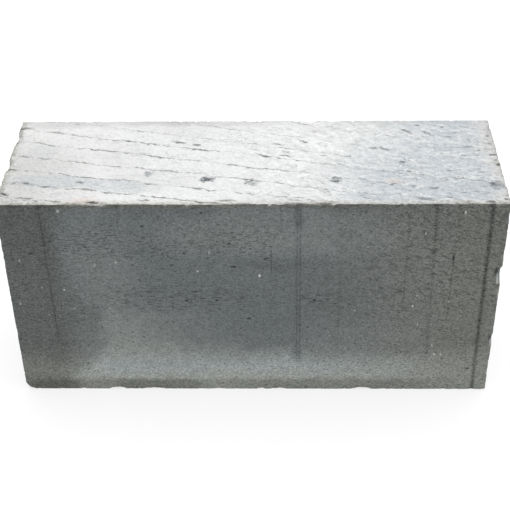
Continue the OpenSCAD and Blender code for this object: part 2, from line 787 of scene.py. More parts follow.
    def _relief(self, points: Array) -> Array:
        """Move the grid's points to the block's surface.

        Args:
            points: Places on the sharp box.

        Returns:
            The places on the worn, torn and chipped block.
        """
        on = {side: np.isclose(points[:, side.axis], self._plane(side)) for side in Side}
        points = self._gather_to_arrises(points)
        top, front = on[Side.TOP], on[Side.FRONT]
        points[top, 1] = self.bed.gather(points[top, 0], points[top, 1])
        points[front, 0] = self.faces[Side.FRONT].gather(points[front, 0], points[front, 2])
        shaped = self._wear_arrises(points)
        shaped[top, 2] -= self.bed.depth(points[top, 0], points[top, 1])
        for side, face in self.faces.items():
            first, second = side.spans
            depth = face.depth(points[on[side], first], points[on[side], second])
            shaped[on[side], side.axis] -= side.outward * depth
        cell = shaped / self.rough_size
        rough = 0.45 * self.grain.at(*cell.T) + 0.3 * self.grain.at(*(cell.T * 2.3 + 0.6))
        for chip in self._chips():
            shaped = chip.carve(shaped, rough)
        return shaped

    def _thin(self, piece: bpy.types.Object) -> None:
        """Thin the mesh to its budget of triangles, most where it is flat.

        Args:
            piece: The piece that is thinned.
        """
        thin = piece.modifiers.new("thin", "DECIMATE")
        thin.ratio = min(1.0, self.budget / len(piece.data.polygons))
        thick = piece.data
        graph = bpy.context.evaluated_depsgraph_get()
        piece.data = bpy.data.meshes.new_from_object(piece.evaluated_get(graph))
        piece.modifiers.clear()
        bpy.data.meshes.remove(thick)

    def _trim(self, mesh: bpy.types.Mesh) -> None:
        """Hold the thinned mesh inside the block's box."""
        write_points(mesh, np.clip(read_points(mesh), self.low * MM, self.high * MM))

    def build(self) -> bpy.types.Object:
        """Make the block's mesh.

        Returns:
            The block, at the origin, with the run of its tears as attributes.
        """
        grid = self._grid()
        mesh = bpy.data.meshes.new("concrete_block_grid")
        grid.to_mesh(mesh)
        grid.free()
        write_points(mesh, self._relief(read_points(mesh)) * MM)
        piece = bpy.data.objects.new("concrete_block", mesh)
        bpy.context.scene.collection.objects.link(piece)
        self._thin(piece)
        self._trim(piece.data)
        piece.data.name = piece.name
        piece.data.shade_smooth()
        piece.data.set_sharp_from_angle(angle=math.radians(self.crease))
        self._mark_tears(piece.data)
        return piece

    def _mark_tears(self, mesh: bpy.types.Mesh) -> None:
        """Store where each vertex lies among the tears of the bed, with the painted shade of its tear.

        Args:
            mesh: The finished mesh.
        """
        points = read_points(mesh) / MM
        on_bed = points[:, 2] > self.high[2] - self.bed_reach
        x, y = points[on_bed, 0], points[on_bed, 1]
        for name, marks in (("crevice_shade", self.bed.crevice_shades(x, y)), ("lee", self.bed.lee(x, y))):
            values = np.zeros(len(points))
            values[on_bed] = marks
            stored = mesh.attributes.new(name, "FLOAT", "POINT")
            stored.data.foreach_set("value", values)


class Value:
    """A shader socket that Python's operators work on."""

    def __init__(self, graph: "ShaderGraph", socket: bpy.types.NodeSocket) -> None:
        """Wrap a socket of a graph."""
        self.graph = graph
        self.socket = socket

    def _maths(self, operation: str, *terms: "Value | float") -> "Value":
        """Add a Math node on these terms."""
        return self.graph.node("ShaderNodeMath", {"operation": operation}, dict(enumerate(terms)))

    def __add__(self, other: "Value | float") -> "Value":
        """Sum."""
        return self._maths("ADD", self, other)

    __radd__ = __add__

    def __sub__(self, other: "Value | float") -> "Value":
        """Difference."""
        return self._maths("SUBTRACT", self, other)

    def __rsub__(self, other: float) -> "Value":
        """Difference from a number."""
        return self._maths("SUBTRACT", other, self)

    def __mul__(self, other: "Value | float") -> "Value":
        """Product."""
        return self._maths("MULTIPLY", self, other)

    def __abs__(self) -> "Value":
        """Size without its sign."""
        return self._maths("ABSOLUTE", self)

    def times_plus(self, factor: "Value | float", added: "Value | float") -> "Value":
        """Product with a factor, plus a term."""
        return self._maths("MULTIPLY_ADD", self, factor, added)

    def dot(self, weights: Array) -> "Value":
        """Sum of a vector's three parts, each times its weight."""
        inputs = {0: self, 1: weights}
        return self.graph.node("ShaderNodeVectorMath", {"operation": "DOT_PRODUCT"}, inputs, "Value")

    def most(self, other: "Value | float") -> "Value":
        """The larger of two."""
        return self._maths("MAXIMUM", self, other)

    def least(self, other: "Value | float") -> "Value":
        """The smaller of two."""
        return self._maths("MINIMUM", self, other)

    def ramp(self, low: float, high: float, top: float = 1.0) -> "Value":
        """Rise smoothly from 0 at low to the top at high."""
        limits = {"Value": self, "From Min": low, "From Max": high, "To Max": top}
        return self.graph.node("ShaderNodeMapRange", {"interpolation_type": "SMOOTHSTEP"}, limits)


class ShaderGraph:
    """The node tree of one material or world, emptied to start with."""

    def __init__(self, owner: bpy.types.Material | bpy.types.World) -> None:
        """Empty the owner's node tree.

        Args:
            owner: Material or world whose tree is filled.
        """
        owner.use_nodes = True
        self.tree = owner.node_tree
        self.tree.nodes.clear()

    def node(
        self,
        kind: str,
        settings: dict[str, object] | None = None,
        inputs: dict[str | int, object] | None = None,
        output: str | int = 0,
    ) -> Value:
        """Add a node.

        Args:
            kind: Type of the node.
            settings: Its own settings, which are set first.
            inputs: Values or links of its sockets.
            output: Which of its outputs is wanted.

        Returns:
            The wanted output.
        """
        made = self.tree.nodes.new(kind)
        for name, setting in (settings or {}).items():
            setattr(made, name, setting)
        for key, value in (inputs or {}).items():
            if isinstance(value, Value):
                self.tree.links.new(value.socket, made.inputs[key])
            else:
                made.inputs[key].default_value = value
        return Value(self, made.outputs[output]) if len(made.outputs) else Value(self, None)

    def vector(self, x: Value | float, y: Value | float, z: Value | float = 1.0) -> Value:
        """Join three values into a vector, or two into a place on a face, with 1 as its third part."""
        return self.node("ShaderNodeCombineXYZ", inputs={0: x, 1: y, 2: z})

    def noise(self, at: Value, scale: float, detail: float = 2.0) -> Value:
        """Noise from about -1 to 1 at a vector."""
        inputs = {"Vector": at, "Scale": scale, "Detail": detail, "Roughness": 0.55}
        return self.node("ShaderNodeTexNoise", inputs=inputs).times_plus(2.0, -1.0)

    def streaks(
        self, run: tuple[Value, Value], squeeze: float, layer: float, scale: float, detail: float = 2.0
    ) -> Value:
        """Noise in one layer, drawn out along a run: a pair of places along and across it."""
        along, across = run
        return self.noise(self.vector(along * squeeze, across, layer), scale, detail)

    def pores(self, at: Value, scale: float, reach: float) -> Value:
        """Scatter round pores.

        Args:
            at: Vector at which they are looked up.
            scale: Cells in a unit of it.
            reach: Share of a cell that a pore may fill.

        Returns:
            1 in each pore, and 0 between them.
        """
        cells = {"Vector": at, "Scale": scale}
        distance = self.node("ShaderNodeTexVoronoi", inputs=cells)
        chance = self.node("ShaderNodeTexVoronoi", inputs=cells, output="Color")
        chosen = self.node("ShaderNodeSeparateColor", inputs={0: chance}).ramp(0.45, 0.6)
        return distance.ramp(reach, reach * 0.5) * chosen

    def mix(self, share: Value | float, first: Value | Colour, second: Value | Colour) -> Value:
        """Mix two colours."""
        inputs = {0: share, 6: self._opaque(first), 7: self._opaque(second)}
        return self.node("ShaderNodeMix", {"data_type": "RGBA"}, inputs, output=2)

    def scaled(self, vector: Value, factor: Value | float) -> Value:
        """Multiply a colour or a vector by a factor."""
        return self.node("ShaderNodeVectorMath", {"operation": "SCALE"}, {0: vector, "Scale": factor})

    @staticmethod
    def _opaque(colour: Value | Colour) -> Value | tuple[float, ...]:
        """Give a plain colour its alpha."""
        return colour if isinstance(colour, Value) else (*colour, 1.0)


@dataclass(frozen=True)
class Spot:
    """A soft round or long mark on a face, in millimetres.

    Attributes:
        across: Place along the length.
        up: Place up the front, or through the thickness on the bed.
        half_length: Reach along the length.
        half_height: Reach the other way.
        lift: Strength, below 0 where the mark darkens the face.
        turn: Angle of its length to the block's, in degrees.
    """

    across: float
    up: float
    half_length: float
    half_height: float
    lift: float = 1.0
    turn: float = 0.0

    def share(self, at: Value) -> Value:
        """Strength of the mark.

        Args:
            at: A place on its face, with 1 as third part.

        Returns:
            The strength there, from the lift in the middle to 0 at the rim.
        """
        cosine, sine = math.cos(math.radians(self.turn)), math.sin(math.radians(self.turn))
        along = np.array((cosine, sine, -self.across * cosine - self.up * sine)) / self.half_length
        beside = np.array((-sine, cosine, self.across * sine - self.up * cosine)) / self.half_height
        first, second = at.dot(along), at.dot(beside)
        return second.times_plus(second, first * first).ramp(1.0, 0.05, self.lift)


Marks = tuple[Spot, ...]


def spots(*rows: tuple[float, ...]) -> Marks:
    """Make one mark from each row of sizes, which come in the order of Spot's fields."""
    return tuple(Spot(*row) for row in rows)


def summed(start: Value | float, marks: Marks, at: Value) -> Value:
    """Add the strengths of several marks to a value.

    Args:
        start: The value.
        marks: The marks.
        at: A place on their face.

    Returns:
        The sum at that place.
    """
    for mark in marks:
        start = start + mark.share(at)
    return start


def strongest(marks: Marks, at: Value) -> Value:
    """Strength of the strongest of several marks at a place on their face.

    Args:
        marks: The marks.
        at: The place.

    Returns:
        The strength there.
    """
    strength = marks[0].share(at)
    for mark in marks[1:]:
        strength = strength.most(mark.share(at))
    return strength


@dataclass(frozen=True)
class Ground:
    """What a finish is painted on.

    Attributes:
        graph: Graph of the material.
        block: The block whose score lines, tears and pits the finish follows.
        place: Place on the block, in millimetres.
        x: Its part along the length.
        y: Its part through the thickness.
        z: Its height.
    """

    graph: ShaderGraph
    block: ConcreteBlock
    place: Value
    x: Value
    y: Value
    z: Value

    @classmethod
    def of(cls, graph: ShaderGraph, block: ConcreteBlock) -> "Ground":
        """Read the place on a block in the graph of its material.

        Args:
            graph: The graph.
            block: The block.

        Returns:
            The ground of the finish.
        """
        place = graph.scaled(graph.node("ShaderNodeTexCoord", output="Object"), 1.0 / MM)
        parts = (graph.node("ShaderNodeSeparateXYZ", inputs={0: place}, output=axis) for axis in "XYZ")
        return cls(graph, block, place, *parts)

    def flattened(self, squeeze: float) -> Value:
        """Place on the block with both level parts squeezed, so that noise there lies flat."""
        return self.graph.vector(self.x * squeeze, self.y * squeeze, self.z)

    def turned(self, cosine: float, sine: float) -> tuple[Value, Value]:
        """Places along and across a run over the bed, from the cosine and sine of its angle."""
        return self.x * cosine - self.y * sine, self.y * cosine + self.x * sine


@dataclass(frozen=True)
class ConcreteFinish:
    """Colours of the concrete as linear reflectance, and its marks in millimetres.

    Attributes:
        cool_grey: Cut faces where their grey is cool. Warm grey is where it is warmer.
        torn_white: Clean torn bed. Torn grey is under dust, and torn cream near the rim.
        gloss: Level of the reflections.
        tear_run: Cosine and sine of the angle between the tears and the length.
        steep_run: The same for the dashes at the right of the bed.
        stains: Lighter and darker parts of the front.
        lighter_foot_parts: Parts of the front's foot that are darkened less.
        dragged_zones: Parts of the front that the wire dragged.
        back_patches: Parts of the bed's back rim with more or less dust.
        slurry_gaps: Parts at the right of the bed with less slurry.
        rim_gaps: Parts of its rim where the olive is fainter.
        rim_notches: Notches where tears run out over the left arris, painted with shade.
    """

    cool_grey: Colour = (0.190, 0.208, 0.209)
    warm_grey: Colour = (0.202, 0.210, 0.194)
    rim_olive: Colour = (0.330, 0.325, 0.285)
    torn_white: Colour = (0.712, 0.719, 0.716)
    torn_grey: Colour = (0.520, 0.526, 0.520)
    torn_cream: Colour = (0.600, 0.585, 0.568)
    slurry_blue: Colour = (0.415, 0.445, 0.478)
    crevice_shade_grey: Colour = (0.270, 0.272, 0.255)
    painted_shade_dark: Colour = (0.060, 0.063, 0.062)
    pit_blue: Colour = (0.150, 0.172, 0.188)
    chip_brown: Colour = (0.360, 0.310, 0.260)
    chip_pink: Colour = (0.640, 0.540, 0.510)
    lime_and_highlight_white: Colour = (0.780, 0.800, 0.790)
    roughness: float = 0.93
    gloss: float = 0.2
    tear_run: tuple[float, float] = (0.978, 0.208)
    steep_run: tuple[float, float] = (0.906, 0.423)
    stains: Marks = spots(
        (-142, 152, 52, 78, 0.24), (15, 186, 150, 36, 0.36), (195, 130, 125, 165, 0.12),
        (92, 72, 70, 24, 0.10), (20, 50, 34, 13, -0.20), (80, 176, 22, 14, -0.10),
        (211, 47, 14, 16, 0.12), (-126, 76, 30, 34, 0.09), (60, 62, 140, 18, 0.08),
        (25, 157, 48, 15, -0.16), (-172, 47, 18, 16, -0.20), (-48, 207, 24, 9, -0.12),
        (70, 207, 14, 9, -0.14),
    )
    lighter_foot_parts: Marks = spots((-40, 0, 44, 40, -0.10))
    smudges: Marks = spots((40, 201, 7, 17, 0.22), (40, 43, 8, 12, 0.24), (161, 45, 6, 10, 0.08))
    hole_shades: Marks = tuple(
        Spot(*row, lift=0.72)
        for row in (
            (-95, 192, 2.4, 1.5), (-195, 163, 2.4, 1.3), (-17, 148, 4.5, 1.5), (-33, 110, 2.2, 1.6),
            (-5, 88, 2.8, 1.4), (176, 157, 1.5, 4.0), (-21, 173, 2.2, 1.3), (-60, 163, 2.4, 1.1),
            (-72, 150, 2.4, 1.1), (55, 110, 2.0, 1.6), (-60, 110, 2.6, 1.1), (12, 157, 2.6, 1.0),
            (-146, 170, 2.6, 1.2), (-43, 206, 1.6, 1.8), (200, 27, 2.4, 1.4),
        )
    )
    dragged_zones: Marks = spots(
        (-130, 172, 110, 24), (-20, 176, 60, 18), (-80, 112, 130, 22), (62, 110, 40, 14)
    )
    lime_specks: Marks = spots(
        (-121, 153, 1.1, 1.2, 0.7), (-49, 143, 1.2, 1.5, 0.7), (6, 138, 1.3, 2.4, 1.0),
        (-166, 208, 1.6, 2.4, 0.5), (-170, 122, 1.1, 1.4, 0.7), (182, 206, 1.1, 2.2, 0.8),
        (144, 103, 1.1, 1.6, 0.8), (150, 81, 1.0, 1.4, 0.5), (165, 56, 1.1, 1.8, 0.6),
        (168, 45, 1.3, 2.0, 0.7), (174, 45, 1.3, 1.6, 0.6), (132, 41, 1.0, 1.4, 0.6),
        (-212, 106, 1.2, 2.2, 0.4), (-38, 164, 0.9, 2.4, 0.4), (-190, 125, 1.0, 1.2, 0.4),
        (-118, 113, 1.0, 1.2, 0.4), (-163, 100, 0.9, 1.4, 0.35), (-187, 93, 0.9, 1.3, 0.35),
        (147, 115, 1.0, 1.3, 0.45), (176, 108, 0.9, 1.5, 0.5), (70, 68, 0.9, 1.3, 0.45),
        (-132, 214.2, 4.5, 1.3, 0.7), (-206, 155, 1.0, 2.4, 0.4), (-98, 23, 1.0, 2.4, 0.5),
        (-35, 21, 1.3, 2.0, 0.5), (150, 184, 1.2, 2.2, 0.4), (92, 98, 1.2, 1.4, 0.4),
        (-140, 150, 0.9, 2.6, 0.3),
    )
    arris_chip_shadows: Marks = spots(
        (215.5, 142.5, 3.4, 5.0, 0.95), (218.0, 65, 2.6, 3.4, 0.8), (219, 192, 1.6, 3.0, 0.4)
    )
    arris_lime_and_highlight: Marks = spots(
        (217.2, 132, 1.6, 5.0, 0.5), (218.6, 59, 1.2, 5.0, 0.4), (219.2, 118, 1.0, 9.0, 0.3)
    )
    grey_patches: Marks = spots(
        (-70, 52, 44, 16, 0.25), (-120, 6, 34, 32, 0.25), (-88, -32, 46, 24, 0.25)
    )
    back_patches: Marks = spots((-78, 64, 50, 40, 0.3), (50, 64, 42, 40, -0.5))
    slurry_patches: Marks = spots(
        (-170, -34, 56, 13, 0.52, -3), (-114, -40, 36, 14, 0.38, -6), (-194, 17, 26, 12, 0.20),
        (192, -50, 60, 22, 0.82),
    )
    slurry_gaps: Marks = spots((56, -50, 42, 26, -0.6), (125, 38, 60, 34, -0.2))
    rim_gaps: Marks = spots((112, -68, 44, 40, -0.3), (4, -68, 30, 40, -0.5))
    rim_notches: Marks = spots(
        (-220, 42, 7, 15, 0.7), (-220, -6, 7, 14, 0.6), (-220, -50, 7, 14, 0.6)
    )
    pink_chips: Marks = spots((-144, -63, 15, 4.5, 0.6), (124, -34, 9, 5, 0.35))
    brown_chips: Marks = spots(
        (-141, -67, 17, 4, 0.25), (57, -68, 12, 4, 0.4), (126, -36, 8, 4, 0.2)
    )
    bed_nicks: Marks = spots(
        (204, -67, 6, 1.8, 0.75, -15), (217, -62, 3, 2.2, 0.8, -30), (216, 8, 5, 1.7, 1.0, -2),
        (216, 27, 3.5, 1.8, 0.5, -40), (215, 41, 3, 1.7, 0.7, -6), (217, 0, 2.5, 2.0, 0.6, 20),
        (218, -7, 2, 3.1, 0.7), (141, 51, 9, 2.1, 0.6, -42), (161, 46, 9, 2.0, 0.5, -40),
        (119, 19, 7, 2.1, 0.6, -32), (110, 21, 6, 2.0, 0.5, -20), (188, 21, 12, 1.3, 0.4),
        (203, 16, 4, 1.5, 0.5), (134, -3, 5, 2.0, 0.7, 12), (158, -45, 5, 1.8, 0.5, 3),
        (147, -62, 11, 1.8, 0.5, -17), (122, -39, 4, 1.8, 0.6, 28), (86, 7, 4, 1.8, 0.6, 30),
        (-209, -36, 4, 2.0, 0.5, 45), (-197, -37, 6, 2.0, 0.7, -6), (-179, -42, 7, 1.8, 0.6, 5),
        (-151, -35, 5.5, 2.1, 0.7, -28), (-214, -54, 6, 2.2, 0.9, -40), (-195, -60, 10, 1.7, 0.7, -6),
        (-137, -66.5, 7.5, 2.0, 1.0, -6), (-214, 58, 8, 2.1, 0.6, 1), (-185, 50, 11, 1.8, 0.5, -10),
        (-68, 31, 9, 1.8, 0.7, -14), (-52, 27, 5, 2.0, 0.7, -5), (-2, 20, 9, 1.7, 0.5, -24),
        (8, 9, 10, 1.7, 0.6, -26), (28, 8, 8, 1.7, 0.6, -20), (22, 28, 7, 1.7, 0.5, -30),
        (45, 33, 8, 1.8, 0.5, -36), (30, 14, 6, 1.4, 0.4, -22), (64, 8, 6, 1.5, 0.5, 4),
        (38, -68.5, 12, 1.6, 0.6, -2), (62, -68.5, 9, 1.8, 0.7, 2), (-6, -68.5, 9, 1.5, 0.5, -2),
        (73, -33, 4.5, 3.0, 0.6, 8), (209, -38, 5, 2.6, 0.5, -35), (-39, -31, 6, 2.4, 0.4, 6),
        (-92, -63, 8, 1.8, 0.5, -6), (-22, -64, 12, 1.7, 0.5, -4), (37, -63, 9, 1.5, 0.5, -10),
    )

    def material(self, block: ConcreteBlock) -> bpy.types.Material:
        """Make the material.

        Args:
            block: The block whose score lines and pits it follows.

        Returns:
            The material.
        """
        made = bpy.data.materials.new("aerated_concrete")
        graph = ShaderGraph(made)
        ground = Ground.of(graph, block)
        cut, cut_relief = self._cut_face(ground)
        torn, torn_relief = self._torn_bed(ground)
        inset = (block.high[1] - abs(ground.y)).least(block.high[0] - abs(ground.x))
        on_bed = inset.ramp(0.25, 0.9) * ground.z.ramp(209, 210)
        colour = graph.mix(on_bed, cut, torn)
        relief = cut_relief + (torn_relief - cut_relief) * on_bed
        bump = graph.node("ShaderNodeBump", inputs={"Strength": 1.0, "Distance": MM, "Height": relief})
        shader = graph.node(
            "ShaderNodeBsdfPrincipled",
            inputs={
                "Base Color": colour,
                "Roughness": self.roughness,
                "Specular IOR Level": self.gloss,
                "Normal": bump,
            },
        )
        graph.node("ShaderNodeOutputMaterial", inputs={"Surface": shader})
        return made

    def _cut_face(self, ground: Ground) -> tuple[Value, Value]:
        """Colour and fine relief of the faces that the wire cut.

        Args:
            ground: What is painted.

        Returns:
            The colour, and the height of the fine relief in millimetres.
        """
        graph, x, y, z = ground.graph, ground.x, ground.y, ground.z
        flat = ground.flattened(0.60)
        fine = graph.noise(flat, 0.90)
        blotchy = graph.noise(flat, 0.22)
        pores = graph.pores(flat, 0.30, 0.30)
        dragged = graph.noise(ground.flattened(0.20), 0.72).ramp(0, 0.30)
        zones = graph.noise(ground.flattened(0.35), 0.026).ramp(-0.05, 0.30) * 0.5
        on_front = graph.vector(x, z)
        zones = zones.most(strongest(self.dragged_zones, on_front))
        scaly = graph.noise(graph.vector((x - z * 0.45) * 0.30, y * 0.30, z + x * 0.45), 0.42)
        scaly = scaly.ramp(0, 0.32) * x.ramp(40, 150) * z.ramp(60, 120)
        ripples = (dragged * zones).most(scaly * 0.8)
        coarse = x.ramp(-120, -185).most(x.ramp(50, 170)).most(z.ramp(120, 190) * 0.4)
        coarse = coarse.most(z.ramp(62, 32) * 0.6)
        grain = 1.02 + fine * (0.74 + coarse * 0.32) + blotchy * 0.20
        # Painted shade: the pores are darkened.
        grain = grain * (1.0 - pores * 0.32) * (1.04 - ripples * 0.42)
        front = y.ramp(-67, -69)
        tone, warmth, lime = self._front_stains_and_painted_light(ground)
        patchy = 1.3 + graph.noise(ground.place, 0.012, 3.0) * 0.5
        shade = (patchy + (tone - patchy) * front) * grain
        warm = 0.4 + (warmth - 0.4) * front
        colour = graph.scaled(graph.mix(warm, self.cool_grey, self.warm_grey), shade)
        colour = graph.mix(lime * front, colour, self.lime_and_highlight_white)
        near_front = y.ramp(-62, -65)
        # Painted shadow in the chips on the right arris of the front.
        chips = strongest(self.arris_chip_shadows, graph.vector(x + fine * 2.0, z + blotchy * 4.0))
        colour = graph.mix(chips * near_front, colour, self.painted_shade_dark)
        # Lime and a painted highlight on the rims of those chips.
        colour = graph.mix(strongest(self.arris_lime_and_highlight, on_front) * near_front, colour, self.lime_and_highlight_white)
        return colour, fine * 0.30 + blotchy * 0.12 - pores * 0.35 - ripples * 0.30

    def _front_stains_and_painted_light(self, ground: Ground) -> tuple[Value, Value, Value]:
        """Tone of the front face: stains, a darker left end and foot, painted bounce light on its lower
        part, dusty score lines, holes darkened with painted shade, and lime.

        Args:
            ground: What is painted.

        Returns:
            The tone as a factor, the share of the warm grey and the share of lime.
        """
        graph, place, x, z = ground.graph, ground.place, ground.x, ground.z
        near = graph.noise(place, 0.11)
        drift_x = x + graph.noise(place, 0.022) * 14.0 + near * 5.0
        drift_z = z + graph.noise(graph.vector(z, x, 40.0), 0.022) * 10.0 + near * 4.0
        tone = summed(1.0, self.stains, graph.vector(drift_x, drift_z))
        bulge = drift_z.ramp(10, 60) * drift_z.ramp(128, 92)
        # Darker at the left end of the front, reaching further right in a bulge above the foot.
        darker_left_end = drift_x.ramp(-155, -185) * 0.45 + (drift_x - bulge * 32.0).ramp(-164, -180) * 0.55
        # Painted light: the front's lower left and a band along its foot that fades to the right are
        # lightened, as if lit by light thrown up from the floor.
        patch = drift_z.ramp(135, 35) * drift_x.ramp(0, -105)
        floor_bounce_light = (drift_z + drift_x.ramp(40, 110) * 3.0).ramp(64, 24)
        floor_bounce_light = floor_bounce_light * (1.0 - drift_x.ramp(70, 215) * 0.58)
        tone = (tone + patch * 0.62 + floor_bounce_light * (1.50 - patch * 0.62)) * (1.0 - darker_left_end)
        # Painted light: the darker left end is lightened towards its foot in the same way.
        tone = tone + darker_left_end * (0.81 + drift_z.ramp(60, 18) * 0.50 - drift_z.ramp(120, 170) * 0.03)
        tone = tone * (1.0 - z.ramp(150, 200) * 0.10)
        # Darker towards the foot of the front, more so in a short strip at its left middle.
        foot = (z + near * 4.0).ramp(17, 9.5)
        on_front = graph.vector(x, z)
        foot_darkening = summed(0.30, self.lighter_foot_parts, on_front)
        tone = tone * (1.0 - foot * foot_darkening * (1.0 - x.ramp(110, 190)))
        darker_foot_strip = (z + near * 5.0).ramp(15, 11.5) * (x + near * 12.0).ramp(-136, -122)
        darker_foot_strip = darker_foot_strip * x.ramp(-40, -62)
        tone = tone * (1.0 - darker_foot_strip * 0.22)
        tone = self._score_dust(ground, tone)
        jogged = graph.vector(x + near * 3.0, z + near * 1.5)
        # Painted shade in the holes; the smudges darken the face too.
        tone = tone * (1.0 - strongest(self.smudges + self.hole_shades, jogged))
        rim = z.ramp(207.5, 213)
        rim = rim * graph.noise(graph.vector(x * 0.22, 5.0, z), 0.45).ramp(-0.05, 0.30)
        tone = tone * (1.0 - rim * 0.32)
        warmth = (drift_x.ramp(10, 235) * 1.15).most(foot).most(drift_z.ramp(36, 14) * 0.75)
        warmth = warmth.most(drift_z.ramp(90, 20) * drift_x.ramp(-130, -180)).most(darker_left_end * 0.45)
        warmth = warmth.most((tone - 1.0) * 0.9 * drift_z.ramp(30, 60))
        warmth = warmth.most(z.ramp(208, 213) * 1.1)
        lime = graph.pores(graph.vector(x, 7.0, z), 0.11, 0.07) * 0.30
        lime = lime.most(strongest(self.lime_specks, on_front))
        return tone, warmth.least(1.1), lime

    @staticmethod
    def _score_dust(ground: Ground, tone: Value) -> Value:
        """Darken the score lines with dust.

        Args:
            ground: What is painted.
            tone: Tone of the front without them.

        Returns:
            The tone with them.
        """
        graph, x, z = ground.graph, ground.x, ground.z
        frayed = 0.85 + graph.noise(graph.vector(x * 0.05, 0.0, z), 0.33) * 1.5
        rungs = graph.noise(graph.vector(x * 0.15, 3.0, z), 0.42, 1.0).ramp(-0.10, 0.20) * 1.9
        wavering = graph.noise(graph.vector(0.0, x * 0.02, z), 0.10) * 0.9
        for line in ground.block.scores:
            offset = abs(x - line.place(z) + wavering)
            length = z.ramp(line.low - 10, line.low + 10) * z.ramp(line.high + 8, line.high - 8)
            core = offset.ramp(line.width * 0.8, line.width * 0.2)
            core = core * (rungs if line.broken else frayed)
            dust = core + offset.ramp(line.spread, 0) * line.smear
            tone = tone * (1.0 - dust * length * line.stain)
        return tone

    def _torn_bed(self, ground: Ground) -> tuple[Value, Value]:
        """Colour and fine relief of the torn top bed.

        Args:
            ground: What is painted.

        Returns:
            The colour, and the height of the fine relief in millimetres.
        """
        graph, x, y = ground.graph, ground.x, ground.y
        along, across = level = ground.turned(*self.tear_run)
        fine = graph.streaks(level, 0.95, 3.0, scale=0.42)
        streaks = graph.streaks(level, 0.48, 0.0, scale=0.23, detail=3.0)
        clouds = graph.noise(ground.place, 0.03, 3.0)
        right = (x - y * 0.6 + clouds * 40.0).ramp(36, 150)
        on_bed = graph.vector(x, y)
        right = right * summed(1.0, self.slurry_gaps, on_bed)
        steep_along, steep_across = steep = ground.turned(*self.steep_run)
        torn = graph.streaks(level, 0.5, 21.0, scale=0.05).ramp(-0.25, 0.30)
        lee = graph.node("ShaderNodeAttribute", {"attribute_name": "lee"}, output="Fac")
        fringe = lee.ramp(0.25, 0.06).most(lee.ramp(0.72, 0.94))
        dashes = graph.streaks(level, 0.45, 9.0, scale=0.36)
        bent = graph.vector(along * 0.34 + fine * 2.0, across + dashes * 5.0, 9.0)
        nicks = graph.pores(bent, 0.19, 0.28)
        nicks = nicks * (0.35 + fringe * 0.65) * torn.most(fringe)
        rows = graph.streaks(steep, 0.15, 51.0, scale=0.16).ramp(-0.12, 0.16)
        bent = graph.vector(steep_along * 0.38 + fine * 2.0, steep_across + dashes * 5.0, 15.0)
        nicks = nicks.most(graph.pores(bent, 0.25, 0.33) * x.ramp(-30, 70) * (0.40 + rows * 0.9))
        wisps = graph.streaks(steep, 0.42, 33.0, scale=0.26, detail=3.0)
        tears = graph.streaks(level, 0.40, 9.0, scale=0.20, detail=3.0)
        lips = abs(tears - 0.11).ramp(0.09, 0.02) * torn
        grey = streaks.ramp(-0.15, 0.55) * 0.36 + clouds.ramp(-0.1, 0.6) * 0.15
        back = (y + clouds * 12.0 + fine * 5.0).ramp(54, 66)
        back = back * summed(0.72, self.back_patches, on_bed)
        grey = summed(grey.most(back), self.grey_patches, on_bed)
        grey = grey.most((x + clouds * 30.0).ramp(-110, -215) * y.ramp(60, -10) * 0.9)
        colour = graph.mix(grey.least(1.0), self.torn_white, self.torn_grey)
        slurry = right * (0.52 + lee.ramp(0.05, 0.55) * 0.26 + streaks * 0.90 + wisps * 1.00)
        drifted = graph.vector(x + clouds * 20.0, y + streaks * 9.0)
        for patch in self.slurry_patches:
            share = patch.share(drifted).ramp(patch.lift * 0.05, patch.lift * 0.7)
            slurry = slurry.most(share * (streaks * 0.3 + patch.lift))
        colour = graph.mix(slurry.most(0.0).least(0.9), colour, self.slurry_blue)
        colour = graph.mix(lips * (0.25 + right * 0.30), colour, self.lime_and_highlight_white)
        # Painted shade in the bed's small nicks and dashes.
        colour = graph.mix(nicks * (0.34 + right * 0.10), colour, self.painted_shade_dark)
        colour = self._bed_rim(ground, colour, clouds, streaks, fine, dashes)
        colour = self._bed_marks(ground, colour, streaks, fine, dashes)
        to_right = x.ramp(-60, 80)
        colour = graph.scaled(colour, 1.0 + fine * (0.20 + to_right * 0.08) + wisps * to_right * 0.32)
        return colour, fine * 0.26 + streaks * 0.25 + tears.ramp(-0.04, 0.04) * torn * 0.5

    def _bed_rim(
        self, ground: Ground, colour: Value, clouds: Value, streaks: Value, fine: Value, dashes: Value
    ) -> Value:
        """Paint the rim of the bed: cream near its right end and front, and a darker olive along its
        arrises.

        Args:
            ground: What is painted.
            colour: Colour of the bed without it.
            clouds: Widest noise of the bed.
            streaks: Noise along its tears.
            fine: Its finest noise.
            dashes: Noise of its short dashes.

        Returns:
            The colour with it.
        """
        graph, x, y = ground.graph, ground.x, ground.y
        cream = (x + clouds * 8.0).ramp(200, 214).most(y.ramp(-60, -66) * 0.8)
        cream = cream.most(x.ramp(-90, -200) * 0.3)
        colour = graph.mix(cream * (0.55 + fine * 0.8), colour, self.torn_cream)
        rim = (x + streaks * 7.0 + fine * 6.0).ramp(-213, -220, 0.8)
        rim = rim.most((x + streaks * 5.0 + fine * 4.0).ramp(215, 221, 0.7))
        rim = rim.most((y + streaks * 8.0 + fine * 4.0).ramp(-63.5, -70) * (1.0 + dashes * 1.5))
        strength = summed(0.74 + x.ramp(-90, -190) * 0.25, self.rim_gaps, graph.vector(x, y))
        return graph.mix((rim * strength).least(1.0), colour, self.rim_olive)

